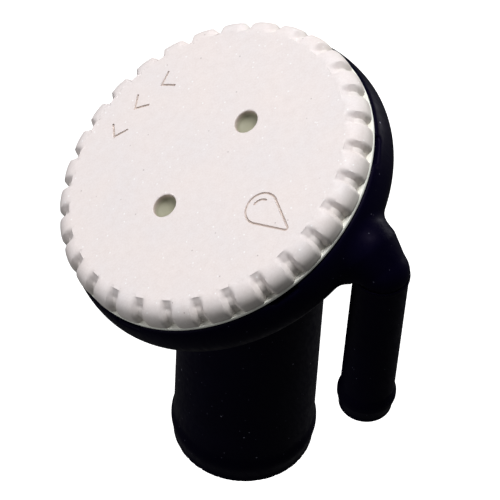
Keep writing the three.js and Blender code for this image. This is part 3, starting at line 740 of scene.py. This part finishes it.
def make_tail(material):
    crest = TAIL_LENGTH - TAIL_BARB_FROM_END
    barb = TAIL_RADIUS + TAIL_BARB_HEIGHT
    outline = filleted([
        (TAIL_BORE_RADIUS, SPIGOT_LENGTH + GAP, 0.1),
        (TAIL_BORE_RADIUS, TAIL_LENGTH, 0.3),
        (TAIL_RADIUS - 0.1, TAIL_LENGTH, 0.5),
        (TAIL_RADIUS, crest + BARB_FALL_SHARE * TAIL_BARB_FROM_END, 1.0),
        (barb, crest + BARB_TOP_AFTER, 1.1),
        (barb, crest - BARB_TOP_BEFORE, 1.0),
        (TAIL_RADIUS, crest - BARB_RISE, 1.2),
        (TAIL_RADIUS, TAIL_COLLAR_LENGTH + 0.4, 0.4),
        (TAIL_COLLAR_RADIUS, TAIL_COLLAR_LENGTH, 0.15),
        (TAIL_COLLAR_RADIUS, GAP, 0.25),
        (SPIGOT_RADIUS + GAP, GAP, 0.1),
        (SPIGOT_RADIUS + GAP, SPIGOT_LENGTH + GAP, 0.1),
    ])
    tail = turned("vent_tail_moulding", outline[::-1], 96, start=tail_top, direction=tail_direction)
    return finish_piece(tail, "fill", material, "black_tail", "vent_tail")


# What closes the bowl

def ring_field(x, y, z):
    r = np.hypot(x, y) + 0 * z
    flange_low = RIM_Z - FLANGE_THICKNESS
    sleeve = tube(r, z, FEMALE_ROOT_RADIUS, THROAT_OUTER_RADIUS, THROAT_BOTTOM_Z, RIM_Z, 0.4)
    flange = tube(r, z, FEMALE_ROOT_RADIUS, FLANGE_RADIUS, flange_low, RIM_Z, 0.4)
    ridge = FEMALE_ROOT_RADIUS - FEMALE_CREST_RADIUS
    threaded = FEMALE_ROOT_RADIUS - ridge * thread_height(x, y, z, 0.5) - r
    above_or_below = np.abs(z - FEMALE_THREAD_MIDDLE_Z) - THREAD_HALF_REACH
    thread = np.maximum(threaded * THREAD_SLOPE, r - THROAT_OUTER_RADIUS + 1)
    thread = np.maximum(thread, above_or_below)
    solid = joined(joined(sleeve, flange, 1.0), thread, 0.3)
    angle = np.degrees(np.arctan2(y, x))
    for i in range(SCREWS):
        for offset in (-SLOT_OFFSET, SLOT_OFFSET):
            middle = SCREW_START_ANGLE + 360 * i / SCREWS + offset
            turned_by = (angle - middle + 180) % 360 - 180
            past = np.maximum(np.abs(turned_by) - SLOT_HALF_SPAN + 4, 0) * SLOT_MIDDLE_RADIUS * math.pi / 180
            slot = np.hypot(past, r - SLOT_MIDDLE_RADIUS) - SLOT_HALF_WIDTH
            solid = without(solid, slot + 0 * z)
    for centre in screw_places():
        screw_r = np.hypot(x - centre[0], y - centre[1])
        depth = RIM_Z - z
        slope = (SCREW_HEAD_RADIUS - SCREW_SHANK_RADIUS) / SCREW_HEAD_HEIGHT
        cone = (screw_r - SCREW_HEAD_RADIUS - GAP - 0.1 + depth * slope) * CONE_COSINE
        hole = np.minimum(cone, screw_r - SCREW_SHANK_RADIUS - GAP)
        solid = without(solid, hole)
    return solid


def make_throat_ring(material):
    ring = surface_of("throat_ring_moulding", ring_field, ring_low, ring_high, 0.5)
    return finish_piece(ring, "fill", material, "black_ring", "throat_ring", sharp_angle=50)


def make_gasket(material):
    inner = FEMALE_ROOT_RADIUS + 0.3
    outer = THROAT_OUTER_RADIUS - 0.2
    low, high = gasket_low[2], gasket_high[2]
    outline = filleted([(inner, low, 0.2), (outer, low, 0.2), (outer, high, 0.2), (inner, high, 0.2)], 3)
    gasket = turned("throat_gasket_sheet", outline, 120)
    return finish_piece(gasket, "fill", material, "seal_rubber", "throat_gasket")


def screw_field(x, y, z):
    """A countersunk cross-slotted screw with its head's top at z = 0."""
    edge_height = 0.2
    pitch = 1.1
    point_length = 1.6
    root_share = 0.78
    cross_half_width, cross_reach, cross_depth = 0.42, 1.75, 1.1
    r = np.hypot(x, y) + 0 * z
    slope = (SCREW_HEAD_RADIUS - SCREW_SHANK_RADIUS) / (SCREW_HEAD_HEIGHT - edge_height)
    cone = (r - SCREW_HEAD_RADIUS - (z + edge_height) * slope) * CONE_COSINE
    cone = np.maximum(cone, r - SCREW_HEAD_RADIUS)
    head = np.maximum(np.maximum(cone, z), -SCREW_HEAD_HEIGHT - z)
    turn = np.arctan2(y, x) / (2 * math.pi)
    wave = np.abs((z / pitch - turn) % 1 - 0.5) * 2
    taper = np.interp(z, (-SCREW_LENGTH, point_length - SCREW_LENGTH), (0.05, 1.0))
    ridged = SCREW_SHANK_RADIUS * taper * (root_share + (1 - root_share) * wave)
    shank = np.maximum(r - ridged, np.maximum(z, -SCREW_LENGTH - z)) * 0.7
    solid = joined(head, shank, 0.2)
    arm = np.minimum(np.abs(x) + 0 * y, np.abs(y) + 0 * x) - cross_half_width
    depth = -cross_depth + 0.35 * r
    cross = np.maximum(np.maximum(arm, r - cross_reach), (depth - z) * 0.8)
    return without(solid, cross, 0.12)


def make_throat_screws(material):
    reach = SCREW_HEAD_RADIUS
    low, high = (-reach, -reach, -SCREW_LENGTH), (reach, reach, 0)
    first = surface_of("throat_screw_1_steel", screw_field, low, high, 0.16)
    for i, centre in enumerate(screw_places()):
        screw = first
        if i > 0:
            screw = bpy.data.objects.new(f"throat_screw_{i + 1}_steel", first.data)
            bpy.context.scene.collection.objects.link(screw)
        screw.location = Vector((centre[0], centre[1], RIM_Z - 0.1)) * MM
        screw.rotation_euler = (0, 0, 0.7 * i + 0.3)
        finish_piece(screw, "fill", material, "screw_steel", f"throat_screw_{i + 1}")


# Seal and tether swivel

def make_seal(material):
    section = (seal_high[2] - seal_low[2]) / 2
    middle_z = (seal_high[2] + seal_low[2]) / 2
    radius = seal_high[0] - section
    outline = []
    for i in range(24):
        angle = 2 * math.pi * i / 24
        outline.append((radius + section * math.cos(angle), middle_z + section * math.sin(angle)))
    seal = turned("cap_seal_ring", outline, 180)
    return finish_piece(seal, "cap", material, "seal_rubber", "cap_seal", sharp_angle=60)


def swivel_screw_field(x, y, z):
    """A pan-head shoulder screw, seen from below, with a straight slot."""
    r = np.hypot(x, y) + 0 * z
    head_radius, head_height, shank_radius = 3.6, 1.9, 1.7
    slot_half_width, slot_depth = 0.45, 0.9
    head_low = swivel_low[2]
    head_high = head_low + head_height
    head = bar(r, z, head_radius, head_low, head_high + 0.6, 0.9)
    head = np.maximum(head, z - head_high)
    shank = bar(r, z, shank_radius, head_low + 0.5, swivel_high[2], 0.2)
    slot = np.maximum(np.abs(y) + 0 * x - slot_half_width, z - head_low - slot_depth)
    return without(joined(head, shank, 0.2), slot + 0 * r, 0.15)


def eye_field(x, y, z):
    """A flat swivel plate with a round end and a tether hole."""
    plate_radius, tab_half_width, pivot_hole_radius = 4.2, 3.0, 2.0
    tip = 8.0
    plate = np.hypot(x, y) - plate_radius
    tab = np.hypot(np.maximum(x - tip, np.minimum(x, 0)), y) - tab_half_width
    outline = joined(plate, tab, 1.5)
    outline = np.maximum(outline, pivot_hole_radius - np.hypot(x, y))
    outline = np.maximum(outline, EYE_HOLE_RADIUS - np.hypot(x - tip, y))
    middle = (eye_low[2] + eye_high[2]) / 2
    half = (eye_high[2] - eye_low[2]) / 2
    return -joined(-(outline + 0 * z), half - np.abs(z - middle), 0.25)


def make_swivel(material):
    screw = surface_of("swivel_screw_steel", swivel_screw_field, swivel_low, swivel_high, 0.2)
    finish_piece(screw, "cap", material, "screw_steel", "swivel_screw")
    inner, outer = 2.0, 4.6
    low, high = washer_low[2], washer_high[2]
    outline = filleted([
        (inner, low, 0.15),
        (outer, low, 0.25),
        (outer, high, 0.25),
        (inner, high, 0.15),
    ], 3)
    washer = turned("swivel_washer_steel", outline, 64)
    finish_piece(washer, "cap", material, "screw_steel", "swivel_washer")
    eye = surface_of("swivel_eye_steel", eye_field, eye_low, eye_high, 0.22)
    finish_piece(eye, "swivel", material, "screw_steel", "swivel_eye")


# The flame arrestor in the vent

def wire(along_x, place, lift, half_length):
    """One woven wire: a thin tube that goes over and under those across it."""
    steps, sides = 28, 6
    rings = []
    for i in range(steps + 1):
        u = -half_length + 2 * half_length * i / steps
        rise = lift * math.cos(math.pi * u / GAUZE_PITCH)
        ring = []
        for k in range(sides):
            angle = 2 * math.pi * k / sides
            side, up = WIRE_RADIUS * math.cos(angle), WIRE_RADIUS * math.sin(angle)
            ring.append((u, place + side, rise + up) if along_x else (place - side, u, rise + up))
        rings.append(np.array(ring))
    points, faces = skin(rings, closed=False)
    last = steps * sides
    faces.append(list(range(sides)))
    faces.append([last + i for i in reversed(range(sides))])
    return points, faces


def make_screen(material):
    """Woven gauze held in a flat rim, standing across the vent."""
    points, faces = [], []
    reach = SCREEN_RADIUS - 0.45
    for i in range(-4, 5):
        place = i * GAUZE_PITCH
        half = math.sqrt(reach * reach - place * place)
        for along_x in (True, False):
            lift = WIRE_LIFT * (1 if i % 2 else -1) * (1 if along_x else -1)
            made, sides = wire(along_x, place, lift, half)
            faces += [[len(points) + k for k in side] for side in sides]
            points += made.tolist()
    inner = SCREEN_RADIUS - SCREEN_RIM_WIDTH
    half = SCREEN_THICKNESS / 2
    rim = filleted([
        (inner, -half, 0.12),
        (SCREEN_RADIUS, -half, 0.12),
        (SCREEN_RADIUS, half, 0.12),
        (inner, half, 0.12),
    ], 2)
    angles = np.arange(48) * 2 * math.pi / 48
    rings = [np.stack([r * np.cos(angles), r * np.sin(angles), np.full(48, z)], axis=1) for r, z in rim]
    made, sides = skin(rings, closed=True)
    faces += [[len(points) + k for k in side] for side in sides]
    points += made.tolist()
    turn = np.array(Vector((0, 0, 1)).rotation_difference(Vector(vent_out)).to_matrix())
    centre = VENT_HUB + vent_out * (SCREEN_DISTANCE + SCREEN_THICKNESS / 2)
    screen = new_object("vent_screen_gauze", np.array(points) @ turn.T + centre, faces)
    finish_piece(screen, "fill", material, "vent_brass", "vent_screen")

    inner, outer, length = 3.7, 4.8, 1
    start = VENT_HUB + vent_out * (SCREEN_DISTANCE - GAP - length)
    outline = filleted([
        (inner, 0, 0.2),
        (outer, 0, 0.2),
        (outer, length, 0.2),
        (inner, length, 0.2),
    ], 3)
    retainer = turned("screen_retainer_ring", outline, 64, start=start, direction=vent_out)
    finish_piece(retainer, "fill", material, "vent_brass", "screen_retainer")


# Materials

class Shader:
    """One material's nodes, with short calls for the few kinds used here."""

    def __init__(self, name, roughness, metallic=0.0, specular=0.5):
        self.material = bpy.data.materials.new(name)
        self.material.use_nodes = True
        self.nodes = self.material.node_tree.nodes
        self.links = self.material.node_tree.links
        self.surface = self.nodes["Principled BSDF"]
        self.surface.inputs["Roughness"].default_value = roughness
        self.surface.inputs["Metallic"].default_value = metallic
        self.surface.inputs["Specular IOR Level"].default_value = specular
        self.place = self.nodes.new("ShaderNodeTexCoord").outputs["Object"]

    def feed(self, socket, value):
        if isinstance(value, bpy.types.NodeSocket):
            self.links.new(value, socket)
        else:
            socket.default_value = value

    def noise(self, size_mm, detail=3.0, stretch=(1, 1, 1)):
        """Noise whose lumps are about size_mm across, from 0 to 1."""
        mapping = self.nodes.new("ShaderNodeMapping")
        self.links.new(self.place, mapping.inputs["Vector"])
        mapping.inputs["Scale"].default_value = stretch
        node = self.nodes.new("ShaderNodeTexNoise")
        self.links.new(mapping.outputs["Vector"], node.inputs["Vector"])
        node.inputs["Scale"].default_value = 1 / (size_mm * MM)
        node.inputs["Detail"].default_value = detail
        return node.outputs["Fac"]

    def dots(self, spacing_mm, radius_mm, share):
        """Scattered dots: 1 in a dot and 0 elsewhere. share is how many of the cells have one."""
        cells = self.nodes.new("ShaderNodeTexVoronoi")
        self.links.new(self.place, cells.inputs["Vector"])
        cells.inputs["Scale"].default_value = 1 / (spacing_mm * MM)
        near = self.spread(cells.outputs["Distance"], radius_mm / spacing_mm, 0.4 * radius_mm / spacing_mm)
        chance = self.nodes.new("ShaderNodeSeparateColor")
        self.links.new(cells.outputs["Color"], chance.inputs["Color"])
        chosen = self.spread(chance.outputs["Red"], share, share - 0.001)
        return self.math("MULTIPLY", near, chosen)

    def math(self, operation, a, b):
        node = self.nodes.new("ShaderNodeMath")
        node.operation = operation
        self.feed(node.inputs[0], a)
        self.feed(node.inputs[1], b)
        return node.outputs[0]

    def spread(self, value, low, high, to_low=0.0, to_high=1.0):
        """Maps low..high to to_low..to_high, held at both ends."""
        node = self.nodes.new("ShaderNodeMapRange")
        node.clamp = True
        self.feed(node.inputs["Value"], value)
        for name, number in (("From Min", low), ("From Max", high), ("To Min", to_low), ("To Max", to_high)):
            node.inputs[name].default_value = number
        return node.outputs["Result"]

    def mix(self, share, a, b):
        node = self.nodes.new("ShaderNodeMix")
        node.data_type = "RGBA"
        self.feed(node.inputs["Factor"], share)
        for socket, value in ((node.inputs[6], a), (node.inputs[7], b)):
            self.feed(socket, value if isinstance(value, bpy.types.NodeSocket) else (*value, 1))
        return node.outputs[2]

    def bump(self, height, depth_mm, strength=1.0, under=None):
        node = self.nodes.new("ShaderNodeBump")
        node.inputs["Distance"].default_value = depth_mm * MM
        node.inputs["Strength"].default_value = strength
        self.links.new(height, node.inputs["Height"])
        if under is not None:
            self.links.new(under, node.inputs["Normal"])
        return node.outputs["Normal"]

    def coordinates(self):
        node = self.nodes.new("ShaderNodeSeparateXYZ")
        self.links.new(self.place, node.inputs["Vector"])
        return node.outputs["X"], node.outputs["Y"], node.outputs["Z"]

    def set(self, colour=None, roughness=None, normal=None):
        if colour is not None:
            self.links.new(colour, self.surface.inputs["Base Color"])
        if roughness is not None:
            self.links.new(roughness, self.surface.inputs["Roughness"])
        if normal is not None:
            self.links.new(normal, self.surface.inputs["Normal"])
        return self.material


def white_plastic():
    """Chalky white moulded plastic: faint warm and cool mottling and specks, with painted shade darkening the
    face's grooves, the spanner holes and the lower cap towards the skirt, and a painted highlight brightening
    the ledge at the lip.
    """
    shader = Shader("white_moulded_plastic", 0.6, specular=0.35)
    broad = shader.spread(shader.noise(16, 2), 0.35, 0.65)
    colour = shader.mix(broad, (0.81, 0.735, 0.72), (0.78, 0.73, 0.735))
    mottle = shader.spread(shader.noise(2.2, 4), 0.3, 0.7)
    colour = shader.mix(shader.math("MULTIPLY", mottle, 0.5), colour, (0.72, 0.645, 0.63))
    grain = shader.spread(shader.noise(0.5, 3), 0.4, 0.7)
    colour = shader.mix(shader.math("MULTIPLY", grain, 0.35), colour, (0.88, 0.83, 0.83))
    colour = shader.mix(shader.math("MULTIPLY", shader.dots(3.7, 0.28, 0.8), 0.6), colour, (0.33, 0.27, 0.27))
    colour = shader.mix(shader.math("MULTIPLY", shader.dots(2.1, 0.3, 0.75), 0.8), colour, (0.95, 0.94, 0.95))
    x, y, z = shader.coordinates()
    squares = shader.math("ADD", shader.math("POWER", x, 2), shader.math("POWER", y, 2))
    from_axis = shader.math("SQRT", squares, 0)
    on_face = shader.spread(from_axis, (FLAT_RADIUS - 0.4) * MM, (FLAT_RADIUS - 0.9) * MM)
    # Painted shade: inside the face's radius, anything more than 0.04 mm below the face is darkened towards
    # brown-grey, which shades the engraved grooves.
    groove = shader.math("MULTIPLY", shader.spread(z, -0.04 * MM, -0.3 * MM), on_face)
    colour = shader.mix(shader.math("MULTIPLY", groove, 0.5), colour, (0.42, 0.31, 0.23))
    # Painted shade: inside the face's radius, deeper than 0.6 mm the colour darkens to grey-green, which
    # shades the spanner holes' floors; the same mask also covers the plug under the disc.
    hole = shader.math("MULTIPLY", shader.spread(z, -0.6 * MM, -1.8 * MM), on_face)
    colour = shader.mix(shader.math("MULTIPLY", hole, 0.92), colour, (0.24, 0.24, 0.16))
    # Painted shade: from 0.8 mm below the face down to the lip, the cap darkens half-way towards grey-green,
    # more the lower it is.
    skirt = shader.spread(z, -0.8 * MM, (LIP_TOP_Z - 0.1) * MM)
    colour = shader.mix(shader.math("MULTIPLY", skirt, 0.5), colour, (0.58, 0.57, 0.48))
    # Painted light: from just above the ledge at the lip downward, the colour is set to a bright cream that
    # lifts the ledge and lip out of their shade, over the painted skirt shade.
    lip = shader.spread(z, (LIP_TOP_Z + 0.15) * MM, (LIP_TOP_Z - 0.1) * MM)
    colour = shader.mix(lip, colour, (0.93, 0.95, 0.88))
    roughness = shader.spread(mottle, 0, 1, 0.52, 0.68)
    soft = shader.bump(shader.noise(1.4, 3), 0.05, 0.5)
    fine = shader.bump(shader.noise(0.22, 2), 0.015, 0.6, soft)
    return shader.set(colour, roughness, fine)


def black_plastic(name, cloud_size_mm):
    """Black moulded plastic, a little blue, with a satin skin, handling marks and grains of dust."""
    shader = Shader(name, 0.42, specular=0.03)
    shader.surface.inputs["Specular Tint"].default_value = (0.7, 0.6, 1.0, 1)
    cloud = shader.spread(shader.noise(cloud_size_mm, 4), 0.3, 0.7)
    colour = shader.mix(cloud, (0.0009, 0.0005, 0.0056), (0.0016, 0.0010, 0.0078))
    dust = shader.dots(2.3, 0.2, 0.8)
    colour = shader.mix(shader.math("MULTIPLY", dust, 0.45), colour, (0.16, 0.16, 0.22))
    lint = shader.dots(5.3, 0.3, 0.8)
    colour = shader.mix(shader.math("MULTIPLY", lint, 0.7), colour, (0.30, 0.30, 0.38))
    rub = shader.noise(1.1, 5, (1, 1, 0.25))
    roughness = shader.spread(rub, 0.3, 0.75, 0.34, 0.56)
    soft = shader.bump(shader.noise(3.5, 2), 0.06, 0.35)
    fine = shader.bump(shader.noise(0.3, 2), 0.012, 0.6, soft)
    return shader.set(colour, roughness, fine)


def rubber():
    shader = Shader("nitrile_rubber", 0.75, specular=0.3)
    bloom = shader.spread(shader.noise(2.2, 4), 0.4, 0.7)
    colour = shader.mix(bloom, (0.012, 0.012, 0.013), (0.035, 0.035, 0.036))
    roughness = shader.spread(bloom, 0, 1, 0.62, 0.85)
    return shader.set(colour, roughness, shader.bump(shader.noise(0.25, 2), 0.01, 0.6))


def steel():
    shader = Shader("machined_stainless", 0.3, metallic=1.0)
    tarnish = shader.spread(shader.noise(1.6, 4), 0.35, 0.75)
    colour = shader.mix(tarnish, (0.62, 0.61, 0.60), (0.44, 0.43, 0.42))
    lathe_marks = shader.noise(0.35, 3, (0.3, 0.3, 3))
    roughness = shader.spread(lathe_marks, 0.3, 0.7, 0.2, 0.42)
    return shader.set(colour, roughness, shader.bump(lathe_marks, 0.006, 0.5))


def brass():
    shader = Shader("dull_brass", 0.4, metallic=1.0)
    tarnish = shader.spread(shader.noise(1.1, 4), 0.35, 0.7)
    colour = shader.mix(tarnish, (0.60, 0.43, 0.19), (0.30, 0.22, 0.12))
    roughness = shader.spread(tarnish, 0, 1, 0.3, 0.6)
    return shader.set(colour, roughness, shader.bump(shader.noise(0.2, 2), 0.004, 0.5))


# Studio

CAMERA_PLACE = Vector((-0.20066, 0.57613, 0.65733))
CAMERA_RIGHT = Vector((-0.86049, 0.23530, -0.45188))
CAMERA_UP = Vector((-0.45754, -0.74704, 0.48227))
CAMERA_LENS = 259.2
FLOOR_Z = -1.2


def make_camera():
    camera = bpy.data.objects.new("camera", bpy.data.cameras.new("camera"))
    camera.data.lens = CAMERA_LENS
    camera.data.sensor_width = 36
    back = CAMERA_RIGHT.cross(CAMERA_UP)
    camera.matrix_world = Matrix.Translation(CAMERA_PLACE) @ Matrix(
        (CAMERA_RIGHT, CAMERA_UP, back)
    ).transposed().to_4x4()
    bpy.context.scene.collection.objects.link(camera)
    bpy.context.scene.camera = camera


def softbox(name, right, up, back, distance, size, power):
    """A square light seen from the object along the camera's own right, up and back."""
    camera_back = CAMERA_RIGHT.cross(CAMERA_UP)
    direction = (CAMERA_RIGHT * right + CAMERA_UP * up + camera_back * back).normalized()
    target = (Vector(CAD_BOX[0]) + Vector(CAD_BOX[1])) / 2
    light = bpy.data.lights.new(name, "AREA")
    light.size = size
    light.energy = power
    lamp = bpy.data.objects.new(name, light)
    lamp.location = target + direction * distance
    lamp.rotation_mode = "QUATERNION"
    lamp.rotation_quaternion = direction.to_track_quat("Z", "Y")
    bpy.context.scene.collection.objects.link(lamp)


def make_floor():
    size = 30000
    points = [(-size, -size, 0), (size, -size, 0), (size, size, 0), (-size, size, 0)]
    floor = new_object("floor", np.array(points) + [0, 0, FLOOR_Z / MM], [(0, 1, 2, 3)])
    paper = bpy.data.materials.new("white_paper")
    paper.use_nodes = True
    surface = paper.node_tree.nodes["Principled BSDF"]
    surface.inputs["Base Color"].default_value = (0.9, 0.9, 0.9, 1)
    surface.inputs["Roughness"].default_value = 0.9
    surface.inputs["Emission Color"].default_value = (1, 1, 1, 1)
    surface.inputs["Emission Strength"].default_value = 1.0
    floor.data.materials.append(paper)
    floor.visible_diffuse = False
    floor.visible_glossy = False


def make_world():
    """White to look at, dim as a light."""
    world = bpy.data.worlds.new("studio")
    world.use_nodes = True
    nodes, links = world.node_tree.nodes, world.node_tree.links
    seen = nodes.new("ShaderNodeLightPath").outputs["Is Camera Ray"]
    strength = nodes.new("ShaderNodeMapRange")
    links.new(seen, strength.inputs["Value"])
    strength.inputs["To Min"].default_value = 0.1
    strength.inputs["To Max"].default_value = 1.0
    links.new(strength.outputs["Result"], nodes["Background"].inputs["Strength"])
    nodes["Background"].inputs["Color"].default_value = (1, 1, 1, 1)
    bpy.context.scene.world = world


def make_studio():
    scene = bpy.context.scene
    scene.view_settings.view_transform = "Standard"
    scene.view_settings.look = "None"
    make_camera()
    make_floor()
    make_world()
    softbox("key", 0.06, 0.8, 0.64, 1.6, 0.7, 26)
    softbox("left_fill", -0.9, 0.0, 0.4, 1.6, 1.0, 7)
    softbox("rim", 0.75, 0.6, -0.45, 1.2, 0.35, 3.5)


make_studio()
seal_rubber = rubber()
stainless = steel()
make_cap(white_plastic())
make_body(black_plastic("black_body_plastic", 9))
make_tail(black_plastic("black_tail_plastic", 11))
make_throat_ring(black_plastic("black_ring_plastic", 13))
make_gasket(seal_rubber)
make_seal(seal_rubber)
make_throat_screws(stainless)
make_swivel(stainless)
make_screen(brass())
